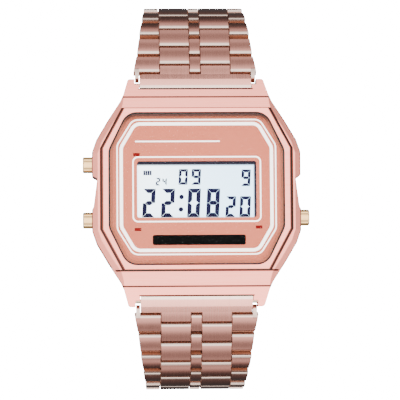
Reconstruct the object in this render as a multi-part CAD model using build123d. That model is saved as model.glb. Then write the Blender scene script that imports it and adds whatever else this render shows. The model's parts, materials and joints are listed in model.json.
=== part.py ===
"""A small octagonal digital watch on a five-row link bracelet with a folding clasp.

Millimetres. X runs to 3 o'clock, Y to 12 o'clock and Z out of the dial.
The origin is the middle of the case back's outer face, so the bracelet loop hangs below zero.
"""

import math
import os

from build123d import *

# Overall case
case_length = 36.8
case_width = 33.5
watch_height = 8.2
half_length = case_length / 2
half_width = case_width / 2

# Bracelet end between the lugs
end_link_half = 9.0
end_link_gap = 0.1
lug_gap_half = end_link_half + end_link_gap
lug_gap_depth = 1.7
lug_gap_y = half_length - lug_gap_depth
lug_step_depth = 1.0
lug_step_width = 0.75

# Case outline in one quarter: distances back from the lug tips, and shares of the lug-to-side width
lug_tip_flat = 0.25
lug_width = 1.9
lug_root_back = 2.8
lug_root_share = 0.12
shoulder_back = 3.9
shoulder_share = 0.21
corner_back = 7.0
corner_share = 0.56
flank_back = 10.1
flank_share = 0.88
side_back = 12.1
lug_tip_x = lug_gap_half + lug_width
side_y = half_length - side_back

# Finger notch in each side: deep towards 12 o'clock, with a slanted floor
notch_depth = 0.85
notch_lower_depth = 0.25
notch_slope = 0.5
notch_lower_y = -2.4
notch_upper_y = 2.6

# Case section along Y: step, shoulder, lug
rim_top_z = 7.7
rim_side_in = 1.69
rim_end_in = 5.4
rim_shift_y = 0.4
rim_half_width = half_width - rim_side_in
rim_half_height = half_length - rim_end_in
rim_cut_x = 3.5
rim_cut_y = 6.5
rim_slope = 0.42
rim_edge = 0.15
deck_z = 7.15
deck_bevel = 0.95
deck_bevel_drop = 0.8
crease_back = 3.2
crease_y = half_length - crease_back
crease_z = 6.55
lug_tip_z = 4.0
lug_bottom_z = 0.9
lug_under_back = 4.5
case_bottom_z = 0.6

# Crystal, its gasket and the ledge
rim_width = 0.95
rim_end_width = 0.75
opening_half_width = rim_half_width - rim_width
opening_half_height = rim_half_height - rim_end_width
opening_cut_x = 2.95
opening_cut_y = 6.0
opening_corner = 2.6
ledge_z = 6.3
ledge_width = 1.5
gasket_wall = 0.25
crystal_bottom_z = 6.85
crystal_bevel = 0.5
crystal_bevel_drop = 0.35

# Dial plate and its window, each side set in from the opening
dial_thickness = 0.45
dial_clearance = 0.1
window_left_in = 4.6
window_right_in = 4.5
window_bottom_in = 8.05
window_top_in = 7.4
window_left = window_left_in - opening_half_width
window_right = opening_half_width - window_right_in
window_bottom = window_bottom_in - opening_half_height
window_top = opening_half_height - window_top_in
window_corner = 0.35
line_height = 0.05
thick_line = 0.52
thin_line = 0.22
octagon_side_in = 2.06
octagon_bottom_in = 2.79
octagon_top_in = 1.42
octagon_half_width = opening_half_width - octagon_side_in
octagon_bottom_y = octagon_bottom_in - opening_half_height
octagon_top_y = opening_half_height - octagon_top_in
octagon_cut_x = 2.2
octagon_cut_y = 3.75
octagon_corner = 1.5
line_spacing = 0.65
frame_line_out = 0.65
frame_line_corner = 0.8
bar_left_in = 2.45
bar_right_in = 1.8
bar_drop = 2.8
bar_height = 1.6
bar_corner = 0.3
header_line_share = 0.39
header_line_out = 0.3
header_line_gap = 3.05
dash_length = 0.86
dash_width = 0.28
dash_out = 0.1
dash_right_out = 0.36
dash_top_gap = 1.05
dash_bottom_gap = 1.9
dash_right_gap = 1.6

# Cavity and what fills it
side_wall = 3.6
end_wall = 7.0
cavity_half_width = half_width - side_wall
cavity_half_height = half_length - end_wall
cavity_cut_x = 4.0
cavity_cut_y = 4.4
cavity_bottom_z = 1.0
frame_gap = 0.15
panel_thickness = 0.8
panel_margin_x = 1.0
panel_margin_y = 1.0
panel_top_z = 5.6
guide_thickness = 0.5
strip_width = 0.9
strip_inset = 1.1
board_thickness = 0.6
board_top_z = 3.6
board_side_in = 1.7
board_end_in = 2.4
board_half_width = cavity_half_width - board_side_in
board_half_height = cavity_half_height - board_end_in
board_cut = 3.0
module_bottom_z = 1.9
module_wall = 0.9
chip_side = 4.0
chip_height = 0.9
crystal_can_radius = 0.5
crystal_can_length = 4.0
coil_radius = 1.1
coil_height = 0.8
capacitor_length = 1.2
capacitor_width = 0.7
cell_margin = 4.25
cell_radius = board_half_height - cell_margin
cell_height = 1.6
cell_x = -3.4
clip_thickness = 0.2
clip_width = 3.0
leaf_thickness = 0.15
leaf_height = 1.6
leaf_width = 1.2
piezo_radius = 6.0
piezo_thickness = 0.2
piezo_x = 4.0
contact_spring_radius = 0.6
contact_spring_wire = 0.2

# Case back
back_side_out = 1.4
back_end_out = 1.8
back_half_width = cavity_half_width + back_side_out
back_half_height = cavity_half_height + back_end_out
back_cut_x = 3.4
back_cut_y = 3.6
back_gap = 0.05
back_edge = 0.3
back_gasket_inset = 0.15
back_gasket_width = 0.45
back_gasket_height = 0.5
back_groove_in = 1.2
back_groove_width = 0.35
back_groove_depth = 0.12
screw_side_in = 2.1
screw_end_in = 0.2
screw_x = cavity_half_width - screw_side_in
screw_y = cavity_half_height - screw_end_in
screw_head_radius = 0.95
screw_head_height = 0.5
screw_radius = 0.5
screw_length = 2.0
screw_slot_width = 0.3
screw_slot_depth = 0.25

# Pushers
pusher_radius = 1.3
pusher_reach = 1.5
pusher_end_x = half_width + pusher_reach
pusher_bore_clearance = 0.05
pusher_bore_depth = 1.6
pusher_inner_depth = 0.45
pusher_z = 3.7
pusher_left_y = 4.47
pusher_right_y = -4.15
pusher_edge = 0.2
pusher_groove = 0.4
pusher_groove_depth = 0.25
stem_radius = 0.6
stem_clearance = 0.03
stem_tip_gap = 0.05
pusher_stroke = 0.6
spring_wall = 0.3
spring_gap = 0.08
seal_radius = 0.95
seal_length = 0.7

# Bracelet loop: heading angles are in degrees below the horizontal
bar_back = 0.9
bar_y = half_length - bar_back
bar_z = 2.6
bar_radius = 0.6
bar_tip_radius = 0.35
bar_tip_depth = 1.25
end_link_reach = 2.65
end_link_heading = 20.0
pitch = 3.35
links_per_side = 14
lead_curl = 2.0
lead_links = 2
corner_curl = 18.5
corner_links = 4
clasp_half_span = 15.48
most_back_curl = 12.0
halving_steps = 60

# Link section
link_thickness = 2.2
knuckle_radius = 0.6
groove_gap = 0.55
tongue_gap = 0.2
tongue_drop = 0.8
centre_gap = 0.5
tab_start = 0.95
web_drop = 0.5
row_gap = 0.16
pin_radius = 0.35
pin_clearance = 0.03
pin_inset = 0.08
crown_edge = 0.14
crown_rise = 0.15
relief_start_up = 0.65
relief_start_in = 0.3
relief_tab = 0.5
end_link_corner = 0.75

# Link rows across: half width at the start of each tapering link, then the plain ones
tab_width = 4.7
centre_width = 1.6
outer_halves = [10.0, 9.4, 9.0, 8.55, 8.2]
plain_half = 8.05
first_shoulder = 1.3
first_shoulder_width = 0.65

# Clasp
blade_thickness = 0.75
web_thickness = 0.8
web_offset = 0.4
middle_blade_offset = 0.95
inner_blade_offset = 2.2
flange_depth = 1.6
flange_thickness = 0.8
clasp_half_width = 8.05
eye_radius = 0.8
clasp_pin_radius = 0.5
clasp_pin_drop = 0.45
clasp_pin_setback = 1.95
ear_radius = 1.0
ear_gap = 0.12
ear_thickness = 1.1
middle_blade_half = 2.8
slot_side = 1.3
slot_end = 4.5
adjust_radius = 0.45
adjust_spacing = 2.6
adjust_holes = 3
web_end_gap = 0.3
end_bar_radius = 0.45

cut_over = 1.0


def ring_points(quarter):
    """A closed outline from the points of one quarter, which starts near the Y axis."""
    right = quarter + [(x, -y) for x, y in reversed(quarter)]
    return right + [(-x, y) for x, y in reversed(right)]


def octagon_points(half_x, half_y, cut_x, cut_y):
    return ring_points([(half_x - cut_x, half_y), (half_x, half_y - cut_y)])


def slab(points, bottom, top):
    """A prism on a closed outline in the XY plane."""
    face = make_face(Polyline(*points, close=True))
    return extrude(face, top - bottom).moved(Pos(0, 0, bottom))


def rounded_slab(points, corner, bottom, top):
    body = slab(points, bottom, top)
    return fillet(body.edges().filter_by(Axis.Z), corner)


def box(x0, x1, y0, y1, z0, z1):
    size = Box(x1 - x0, y1 - y0, z1 - z0)
    return size.moved(Pos((x0 + x1) / 2, (y0 + y1) / 2, (z0 + z1) / 2))


def rod(radius, x0, x1, y, z):
    """A cylinder along X."""
    body = Cylinder(radius, x1 - x0, rotation=(0, 90, 0))
    return body.moved(Pos((x0 + x1) / 2, y, z))


def post(radius, x, y, z0, z1):
    """A cylinder along Z."""
    return Cylinder(radius, z1 - z0).moved(Pos(x, y, (z0 + z1) / 2))


def side_slab(points, x0, x1):
    """A prism along X on a closed outline given as (y, z)."""
    wire = Polyline(*[(x0, y, z) for y, z in points], close=True)
    return Solid.extrude(Face(Wire(wire.edges())), Vector(x1 - x0, 0, 0))


def quarter_x(share):
    """A point between the lug tip's side and the case side, as a share of that width."""
    return lug_tip_x + share * (half_width - lug_tip_x)


def case_outline():
    quarter = [
        (lug_tip_x - lug_tip_flat, half_length),
        (lug_tip_x, half_length - lug_tip_flat),
        (quarter_x(lug_root_share), half_length - lug_root_back),
        (quarter_x(shoulder_share), half_length - shoulder_back),
        (quarter_x(corner_share), half_length - corner_back),
        (quarter_x(flank_share), half_length - flank_back),
        (half_width, side_y),
    ]
    return ring_points(quarter)


def cavity_points(inset=0.0):
    """The cavity's outline, drawn in by an inset."""
    return octagon_points(
        cavity_half_width - inset,
        cavity_half_height - inset,
        cavity_cut_x - inset / 2,
        cavity_cut_y - inset / 2,
    )


def opening_points(inset=0.0):
    """The crystal opening's outline, drawn in by an inset; it sits a little above the middle."""
    points = octagon_points(
        opening_half_width - inset,
        opening_half_height - inset,
        opening_cut_x - inset / 2,
        opening_cut_y - inset / 2,
    )
    return [(x, y + rim_shift_y) for x, y in points]


def rim_points(grow=0.0):
    """The rim's outer outline, grown at its sides only."""
    points = octagon_points(rim_half_width + grow, rim_half_height, rim_cut_x, rim_cut_y)
    return [(x, y + rim_shift_y) for x, y in points]


def rim_ring():
    """The raised rim, with a sloped foot along its sides."""
    rim = slab(rim_points(), ledge_z, rim_top_z)
    rim = chamfer(rim.faces().sort_by(Axis.Z)[-1].edges(), rim_edge)
    foot_top = rim_top_z - rim_edge
    foot = slab(rim_points(rim_slope), ledge_z, foot_top)
    edges = [edge for edge in foot.faces().sort_by(Axis.Z)[-1].edges() if abs(edge.center().X) > rim_cut_x]
    return rim + chamfer(edges, foot_top - deck_z, rim_slope)


def back_points(inset=0.0):
    return octagon_points(
        back_half_width - inset,
        back_half_height - inset,
        back_cut_x - inset / 2,
        back_cut_y - inset / 2,
    )


def case_side_profile():
    """Half of the case section in YZ: flat deck, two falling bands and the lug's underside."""
    right = [
        (rim_half_height, deck_z),
        (crease_y, crease_z),
        (half_length, lug_tip_z),
        (half_length, lug_bottom_z),
        (half_length - lug_under_back, case_bottom_z),
    ]
    return right + [(-y, z) for y, z in reversed(right)]


def notch_cutter():
    """The finger notch at the left side; the right one is its mirror image."""
    outer = half_width + cut_over
    points = [
        (-outer, notch_lower_y - notch_slope),
        (-half_width, notch_lower_y - notch_slope),
        (notch_lower_depth - half_width, notch_lower_y),
        (notch_depth - half_width, notch_upper_y - notch_slope),
        (-half_width, notch_upper_y),
        (-outer, notch_upper_y),
    ]
    return slab(points, case_bottom_z - cut_over, rim_top_z + cut_over)


def pusher_places():
    """Each pusher as (name, side, y): side is -1 at the left."""
    return [
        ("light", -1, pusher_left_y),
        ("mode", -1, -pusher_left_y),
        ("start", 1, pusher_right_y),
    ]


def side_rod(radius, side, near, far, y, z):
    """A cylinder along X between two distances from the middle, on one side."""
    low, high = sorted((side * near, side * far))
    return rod(radius, low, high, y, z)


def deck_edges(body):
    """The top edges round the sides; the lug tips' ends are cut lower by the side profile."""
    edges = body.faces().sort_by(Axis.Z)[-1].edges()
    return [edge for edge in edges if abs(edge.center().Y) < half_length - lug_tip_flat]


def case_body():
    body = slab(case_outline(), case_bottom_z, deck_z)
    body = chamfer(deck_edges(body), deck_bevel_drop, deck_bevel)
    body = body & side_slab(case_side_profile(), -half_width, half_width)
    body = body + rim_ring()
    body = body - rounded_slab(opening_points(), opening_corner, ledge_z, rim_top_z + cut_over)
    body = body - slab(cavity_points(), case_bottom_z - cut_over, ledge_z - ledge_step())
    body = body - slab(cavity_points(ledge_width), ledge_z - cut_over, ledge_z + cut_over)
    body = body - slab(back_points(-back_gap), case_bottom_z - cut_over, cavity_bottom_z)
    notch = notch_cutter()
    body = body - notch - notch.mirror(Plane.YZ)
    for end in (1, -1):
        low, high = sorted((end * lug_gap_y, end * (half_length + cut_over)))
        body = body - box(-lug_gap_half, lug_gap_half, low, high, -cut_over, rim_top_z)
        wide = lug_gap_half + lug_step_width
        low, high = sorted((end * (half_length - lug_step_depth), end * (half_length + cut_over)))
        body = body - box(-wide, wide, low, high, -cut_over, rim_top_z)
        reach = lug_gap_half + bar_tip_depth
        body = body - rod(bar_tip_radius, -reach, reach, end * bar_y, bar_z)
    for name, side, y in pusher_places():
        bore = pusher_radius + pusher_bore_clearance
        depth = half_width - pusher_bore_depth
        body = body - side_rod(bore, side, depth, half_width + cut_over, y, pusher_z)
        body = body - side_rod(stem_radius + stem_clearance, side, cavity_half_width - cut_over, half_width, y, pusher_z)
        seat = cavity_half_width + (depth - cavity_half_width - seal_length) / 2
        body = body - side_rod(seal_radius, side, seat, seat + seal_length, y, pusher_z)
    for x in (screw_x, -screw_x):
        for y in (screw_y, -screw_y):
            body = body - post(screw_radius, x, y, 0, cavity_bottom_z + screw_length)
    body = body - gasket_ring()
    return body


def ledge_step():
    """Thickness of the ledge that carries the dial."""
    return dial_thickness


def gasket_ring():
    outer = slab(
        cavity_points(-back_gasket_inset - back_gasket_width),
        cavity_bottom_z,
        cavity_bottom_z + back_gasket_height,
    )
    inner = slab(cavity_points(-back_gasket_inset), 0, watch_height)
    return outer - inner


def crystal():
    glass = rounded_slab(
        opening_points(gasket_wall), opening_corner - gasket_wall, crystal_bottom_z, watch_height
    )
    top = glass.faces().sort_by(Axis.Z)[-1].edges()
    return chamfer(top, crystal_bevel_drop, crystal_bevel)


def crystal_gasket():
    outer = rounded_slab(opening_points(), opening_corner, crystal_bottom_z, rim_top_z - rim_edge)
    inner = rounded_slab(opening_points(gasket_wall), opening_corner - gasket_wall, 0, watch_height)
    return outer - inner


def window(bottom, top):
    points = [
        (window_left, window_bottom),
        (window_right, window_bottom),
        (window_right, window_top),
        (window_left, window_top),
    ]
    return rounded_slab(points, window_corner, bottom, top)


def frame_line(points, width, corner, bottom):
    """A printed line that follows a closed outline, as a low ridge on the dial."""
    face = make_face(Polyline(*points, close=True))
    outer = offset(face, width / 2, kind=Kind.INTERSECTION)
    inner = offset(face, -width / 2, kind=Kind.INTERSECTION)
    if corner:
        outer = fillet(outer.vertices(), corner + width / 2)
        inner = fillet(inner.vertices(), corner - width / 2)
    ridge = extrude(outer, line_height) - extrude(inner, line_height)
    return ridge.moved(Pos(0, 0, bottom))


def dial_plate():
    plate = rounded_slab(
        opening_points(dial_clearance), opening_corner - dial_clearance, ledge_z, ledge_z + dial_thickness
    )
    plate = plate - window(ledge_z - cut_over, ledge_z + cut_over)
    for line in dial_print():
        plate = plate + line
    return plate


def shifted_octagon(grow):
    """The octagon line's outline, grown outwards; it sits a little above the middle."""
    middle = (octagon_top_y + octagon_bottom_y) / 2
    half = (octagon_top_y - octagon_bottom_y) / 2 + grow
    points = octagon_points(octagon_half_width + grow, half, octagon_cut_x + grow / 2, octagon_cut_y + grow / 2)
    return [(x, y + middle) for x, y in points]


def dial_print():
    """The raised print: two octagon lines, the window's line, the header line, dashes and bar."""
    top = ledge_z + dial_thickness
    left, right = window_left - frame_line_out, window_right + frame_line_out
    frame = [
        (left, window_bottom - frame_line_out),
        (right, window_bottom - frame_line_out),
        (right, window_top + frame_line_out),
        (left, window_top + frame_line_out),
    ]
    high = top + line_height
    header_y = window_top + header_line_gap
    header_end = window_right * header_line_share
    bar_left, bar_right = window_left + bar_left_in, window_right - bar_right_in
    bar_top = window_bottom - bar_drop
    return [
        frame_line(shifted_octagon(0), thick_line, octagon_corner, top),
        frame_line(shifted_octagon(line_spacing), thin_line, octagon_corner, top),
        frame_line(frame, thin_line, frame_line_corner, top),
        box(window_left - header_line_out, header_end, header_y, header_y + thin_line, top, high),
        dash(window_left - dash_out, window_top + dash_top_gap, top),
        dash(window_left + dash_out, window_bottom - dash_bottom_gap, top),
        dash(window_right + dash_right_out, window_bottom - dash_right_gap, top),
        rounded_slab(
            [
                (bar_left, bar_top - bar_height),
                (bar_right, bar_top - bar_height),
                (bar_right, bar_top),
                (bar_left, bar_top),
            ],
            bar_corner,
            top,
            high,
        ),
    ]


def dash(x, y, bottom):
    """One short printed dash about a middle point."""
    half, wide = dash_length / 2, dash_width / 2
    return box(x - half, x + half, y - wide, y + wide, bottom, bottom + line_height)


def group(shapes):
    """Separate solids kept together as one node."""
    return Compound([solid for shape in shapes for solid in shape.solids()])


def panel_box(bottom, top, margin=0.0):
    """The display's outline, which runs past the window on each side."""
    return box(
        window_left - panel_margin_x - margin,
        window_right + panel_margin_x + margin,
        window_bottom - panel_margin_y - margin,
        window_top + panel_margin_y + margin,
        bottom,
        top,
    )


def lcd_panel():
    return panel_box(panel_top_z - panel_thickness, panel_top_z)


def guide_top():
    return panel_top_z - panel_thickness


def light_guide():
    """The lit wedge under the display, between the two connector strips."""
    return box(
        window_left,
        window_right,
        window_bottom + strip_width,
        window_top - strip_width,
        board_top_z,
        guide_top(),
    )


def elastomer_strips():
    strips = []
    for y in (window_bottom - panel_margin_y, window_top + panel_margin_y - strip_width):
        strips.append(
            box(window_left + strip_inset, window_right - strip_inset, y, y + strip_width, board_top_z, guide_top())
        )
    return group(strips)


def board_points(inset=0.0):
    return octagon_points(
        board_half_width - inset, board_half_height - inset, board_cut - inset / 2, board_cut - inset / 2
    )


def circuit_board():
    board = slab(board_points(), board_top_z - board_thickness, board_top_z)
    return board


def module_frame():
    """The black plastic carrier: a wall round the board and a deck round the display."""
    body = slab(cavity_points(frame_gap), module_bottom_z, ledge_z - ledge_step() - frame_gap)
    body = body + slab(cavity_points(ledge_width + frame_gap), module_bottom_z, ledge_z - line_height)
    body = body - panel_box(board_top_z, panel_top_z)
    body = body - window(board_top_z, ledge_z + cut_over)
    body = body - slab(board_points(), module_bottom_z - cut_over, board_top_z)
    for name, side, y in pusher_places():
        near = board_half_width - leaf_width - leaf_thickness
        low, high = sorted((side * near, side * (cavity_half_width + cut_over)))
        body = body - box(low, high, y - leaf_width, y + leaf_width, module_bottom_z - cut_over, pusher_z + leaf_height)
    return body


def leaf_x():
    """Outer face of a contact leaf: just past the pushed stem's tip."""
    return cavity_half_width - frame_gap - pusher_stroke - stem_tip_gap


def switch_leaves():
    """A sprung contact behind each pusher, with a foot that is soldered under the board."""
    leaves = []
    for name, side, y in pusher_places():
        outer = leaf_x()
        low, high = sorted((side * (outer - leaf_thickness), side * outer))
        half = leaf_width / 2
        under = board_top_z - board_thickness
        blade = box(low, high, y - half, y + half, under - leaf_thickness, pusher_z + leaf_height / 2)
        foot_in = board_half_width - leaf_width
        low, high = sorted((side * foot_in, side * outer))
        foot = box(low, high, y - half, y + half, under - leaf_thickness, under)
        leaves.append(blade + foot)
    return group(leaves)


def board_components():
    """Chip, crystal can, light coil and two capacitors, under the board beside the cell."""
    under = board_top_z - board_thickness
    chip_x = cell_x + cell_radius + chip_side
    chip = box(chip_x - chip_side / 2, chip_x + chip_side / 2, -chip_side / 2, chip_side / 2, under - chip_height, under)
    can_y = -cell_radius - crystal_can_radius * 2
    can = rod(crystal_can_radius, -crystal_can_length / 2, crystal_can_length / 2, can_y, under - crystal_can_radius)
    coil = post(coil_radius, chip_x, chip_side, under - coil_height, under)
    parts = [chip, can, coil]
    for step in (1, 2):
        x = chip_x - chip_side / 2 + step * capacitor_length
        y = -chip_side
        parts.append(box(x, x + capacitor_width, y - capacitor_length, y, under - capacitor_width, under))
    return group(parts)


def coin_cell():
    top = board_top_z - board_thickness
    cell = post(cell_radius, cell_x, 0, top - cell_height, top)
    return chamfer(cell.edges().filter_by(GeomType.CIRCLE), clip_thickness)


def cell_clip():
    """A flat strap over the cell's lower face with a leg up to the board at each end."""
    top = board_top_z - board_thickness
    low = top - cell_height - clip_thickness
    reach = cell_radius + clip_thickness
    half = clip_width / 2
    strap = box(cell_x - half, cell_x + half, -reach, reach, low, low + clip_thickness)
    for side in (1, -1):
        y0, y1 = sorted((side * cell_radius, side * reach))
        strap = strap + box(cell_x - half, cell_x + half, y0, y1, low, top)
    return strap


def piezo_disc():
    return post(piezo_radius, piezo_x, 0, cavity_bottom_z, cavity_bottom_z + piezo_thickness)


def piezo_spring():
    """The contact coil from the disc to the board, as a plain tube."""
    x = cell_x + cell_radius + contact_spring_radius * 2
    y = chip_side / 2 + coil_radius
    low, high = cavity_bottom_z + piezo_thickness, board_top_z - board_thickness
    tube = post(contact_spring_radius, x, y, low, high)
    return tube - post(contact_spring_radius - contact_spring_wire, x, y, low - cut_over, high + cut_over)


def back_groove():
    """A shallow ring in the outer face, inside the four screws."""
    outer = slab(board_points(back_groove_in), -cut_over, back_groove_depth)
    return outer - slab(board_points(back_groove_in + back_groove_width), -cut_over, watch_height)


def case_back():
    plate = slab(back_points(), 0, cavity_bottom_z)
    plate = chamfer(plate.faces().sort_by(Axis.Z)[0].edges(), back_edge)
    plate = plate - back_groove()
    for x in (screw_x, -screw_x):
        for y in (screw_y, -screw_y):
            plate = plate - post(screw_head_radius, x, y, -cut_over, screw_head_height)
            plate = plate - post(screw_radius, x, y, 0, cavity_bottom_z + cut_over)
    return plate


def case_back_screws():
    screws = []
    for x in (screw_x, -screw_x):
        for y in (screw_y, -screw_y):
            screw = post(screw_head_radius, x, y, screw_slot_depth / 2, screw_head_height)
            screw = screw + post(screw_radius, x, y, screw_head_height, cavity_bottom_z + screw_length)
            slot = box(
                x - screw_head_radius,
                x + screw_head_radius,
                y - screw_slot_width / 2,
                y + screw_slot_width / 2,
                0,
                screw_slot_depth + screw_slot_depth / 2,
            )
            screws.append(screw - slot)
    return group(screws)


def pusher(side, y):
    """Cap with a rounded edge and a fine groove, and the stem through the case wall."""
    cap_in = half_width - pusher_inner_depth
    cap = side_rod(pusher_radius, side, cap_in, pusher_end_x, y, pusher_z)
    outer = cap.faces().sort_by(Axis.X)[0 if side < 0 else -1]
    cap = fillet(outer.edges(), pusher_edge)
    low, high = sorted((side * (pusher_end_x - pusher_groove_depth), side * (pusher_end_x + cut_over)))
    half = pusher_groove / 2
    cap = cap - box(low, high, y - pusher_radius, y + pusher_radius, pusher_z - half, pusher_z + half)
    tip = cavity_half_width - frame_gap
    return cap + side_rod(stem_radius, side, tip, cap_in, y, pusher_z)


def pusher_spring(side, y):
    """The return spring between the cap and the bore's floor, as a plain tube."""
    inner = stem_radius + spring_gap
    near, far = half_width - pusher_bore_depth, half_width - pusher_inner_depth
    tube = side_rod(inner + spring_wall, side, near, far, y, pusher_z)
    return tube - side_rod(inner, side, near - cut_over, far + cut_over, y, pusher_z)


def pusher_seals():
    seals = []
    depth = half_width - pusher_bore_depth
    for name, side, y in pusher_places():
        seat = cavity_half_width + (depth - cavity_half_width - seal_length) / 2
        ring = side_rod(seal_radius, side, seat, seat + seal_length, y, pusher_z)
        hole = side_rod(stem_radius + stem_clearance, side, seat - cut_over, seat + cut_over * 2, y, pusher_z)
        seals.append(ring - hole)
    return group(seals)


def lug_spring_bars():
    """Each bar is a tube in the end link with a thinner tip in each lug."""
    bars = []
    for end in (1, -1):
        y = end * bar_y
        tip = lug_gap_half + bar_tip_depth
        bar = rod(bar_radius, -end_link_half, end_link_half, y, bar_z)
        bars.append(bar + rod(bar_tip_radius, -tip, tip, y, bar_z))
    return group(bars)


def heading_vector(heading):
    """Unit vector in (y, z) for a heading in degrees below the horizontal."""
    angle = math.radians(heading)
    return math.cos(angle), -math.sin(angle)


def curled_path(curl):
    """Hinge places and headings of the 12 o'clock half: (y, z, heading) for each link, then the end."""
    y, z = bar_y, bar_z
    heading = end_link_heading
    dy, dz = heading_vector(heading)
    y, z = y + end_link_reach * dy, z + end_link_reach * dz
    path = []
    for index in range(links_per_side):
        if index < lead_links:
            heading += lead_curl
        elif index < lead_links + corner_links:
            heading += corner_curl
        else:
            heading += curl
        path.append((y, z, heading))
        dy, dz = heading_vector(heading)
        y, z = y + pitch * dy, z + pitch * dz
    path.append((y, z, heading + curl))
    return path


def closing_curl():
    """The curl of each back link that brings the loop's end to the clasp, found by halving."""
    low, high = 0.0, most_back_curl
    for step in range(halving_steps):
        middle = (low + high) / 2
        if curled_path(middle)[-1][0] > clasp_half_span:
            low = middle
        else:
            high = middle
    return low


back_curl = closing_curl()


def loop_path():
    return curled_path(back_curl)


def placed(shape, y, z, heading, end):
    """A shape from link axes to its place in the loop; end is 1 at 12 o'clock and -1 at 6."""
    shape = shape.moved(Pos(0, y, z) * Rot(-heading, 0, 0))
    if end < 0:
        shape = shape.moved(Rot(0, 0, 180))
    return shape


half_thick = link_thickness / 2
tab_inner = centre_width / 2 + row_gap
tab_outer = tab_inner + tab_width
row_start = tab_outer + row_gap


def row_profile(start, end, tongue):
    """An outer or centre row's side view from its arched top on: a low tongue, a relief under its start."""
    top = half_thick - crown_rise
    points = [(start + crown_edge, top), (end - crown_edge, top), (end, top - crown_edge)]
    if tongue:
        tip = pitch - knuckle_radius - tongue_gap
        shelf = half_thick - tongue_drop
        points += [(end, shelf), (tip, shelf), (tip, -half_thick)]
    else:
        points += [(end, -half_thick)]
    return points + [
        (start + relief_start_in, -half_thick),
        (start, -half_thick + relief_start_up),
        (start, top - crown_edge),
    ]


def tab_profile(start, reach):
    """A middle row's side view from its arched top on: a slab that ends in the next hinge's knuckle."""
    end = reach + knuckle_radius
    top = half_thick - crown_rise
    return [
        (start + crown_edge, top),
        (end - crown_edge, top),
        (end, top - crown_edge),
        (end, -half_thick + relief_tab),
        (end - relief_tab, -half_thick),
        (start, -half_thick),
        (start, top - crown_edge),
    ]


def crowned_slab(points, x0, x1):
    """A prism along X on a closed (y, z) outline whose first side rises as an arc."""
    spots = [(x0, y, z) for y, z in points]
    middle_y = (points[0][0] + points[1][0]) / 2
    middle_z = (points[0][1] + points[1][1]) / 2 + crown_rise
    edges = [ThreePointArc(spots[0], (x0, middle_y, middle_z), spots[1])]
    edges += [Line(near, far) for near, far in zip(spots[1:], spots[2:] + spots[:1])]
    return Solid.extrude(Face(Wire(edges)), Vector(x1 - x0, 0, 0))


def both_sides(points, inner, outer):
    return crowned_slab(points, inner, outer) + crowned_slab(points, -outer, -inner)


def row_halves(index):
    """A link's half width at its start and where the next link starts."""
    halves = outer_halves + [plain_half] * links_per_side
    return halves[index], halves[index + 1]


def link_body(index, last=False, end_hole=0.0):
    """One link: outer, middle and centre rows on a low web, with its pin bore and its tabs' bores."""
    row_end = pitch - knuckle_radius - groove_gap
    near, far = row_halves(index)
    body = both_sides(row_profile(-knuckle_radius, row_end, not last), row_start, near)
    stop = pitch - knuckle_radius
    plan = [(-near, -knuckle_radius), (near, -knuckle_radius), (far, stop), (-far, stop)]
    body &= slab(plan, -link_thickness, link_thickness)
    centre = row_profile(-knuckle_radius, pitch - knuckle_radius - centre_gap, False)
    body += crowned_slab(centre, -centre_width / 2, centre_width / 2)
    body += both_sides(tab_profile(tab_start, pitch), tab_inner, tab_outer)
    body += box(-row_start, row_start, tab_start, row_end, -half_thick, half_thick - web_drop)
    if index == 0:
        shoulder = row_profile(-knuckle_radius - first_shoulder, row_end, False)
        inner = end_link_half + end_link_gap
        body += both_sides(shoulder, inner, inner + first_shoulder_width) & slab(
            [(-near, -pitch), (near, -pitch), (near, 0), (-near, 0)], -link_thickness, link_thickness
        )
    body -= rod(pin_radius, -near - cut_over, near + cut_over, 0, 0)
    hole = end_hole or pin_radius + pin_clearance
    body -= rod(hole, -tab_outer - cut_over, tab_outer + cut_over, pitch, 0)
    return body


def link_pin(index):
    near, far = row_halves(index)
    half = near + (far - near) * knuckle_radius / pitch - pin_inset
    return rod(pin_radius, -half, half, 0, 0)


def end_bar_half():
    return clasp_half_width - flange_thickness - ear_gap


def link(index, end):
    """A link with its pin in link axes; the last one at 12 o'clock also carries the end bar."""
    last = index == links_per_side - 1
    hole = 0.0
    if last:
        hole = end_bar_radius if end > 0 else end_bar_radius + pin_clearance
    parts = [link_body(index, last, hole), link_pin(index)]
    if last and end > 0:
        parts.append(rod(end_bar_radius, -end_bar_half(), end_bar_half(), pitch, 0))
    return group(parts)


def end_link():
    """The solid piece between the lugs, from the case's shoulder to the first hinge's tabs."""
    slope = (crease_z - lug_tip_z) / (half_length - crease_y)
    near = lug_gap_y + end_link_gap
    sine, cosine = math.sin(math.radians(end_link_heading)), math.cos(math.radians(end_link_heading))
    end = end_link_reach - knuckle_radius - groove_gap

    def turned(u, w):
        return bar_y + u * cosine + w * sine, bar_z - u * sine + w * cosine

    points = [
        (near, crease_z - (near - crease_y) * slope),
        (half_length, lug_tip_z),
        turned(end, half_thick),
        turned(end, half_thick - tongue_drop),
        turned(end_link_reach - knuckle_radius - tongue_gap, half_thick - tongue_drop),
        turned(end_link_reach - knuckle_radius - tongue_gap, -half_thick),
        (near, bar_z - half_thick),
    ]
    body = side_slab(points, -end_link_half, end_link_half)
    corner_y, corner_z = turned(end, half_thick - tongue_drop / 2)
    corners = [Vector(side * end_link_half, corner_y, corner_z) for side in (1, -1)]
    edges = [edge for edge in body.edges() if min((edge.center() - spot).length for spot in corners) < row_gap]
    body = fillet(edges, end_link_corner)
    tabs = both_sides(tab_profile(0, end_link_reach), tab_inner, tab_outer)
    tabs -= rod(pin_radius + pin_clearance, -tab_outer - cut_over, tab_outer + cut_over, end_link_reach, 0)
    body += tabs.moved(Pos(0, bar_y, bar_z) * Rot(-end_link_heading, 0, 0))
    return body - rod(bar_radius, -end_link_half - cut_over, end_link_half + cut_over, bar_y, bar_z)


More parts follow.
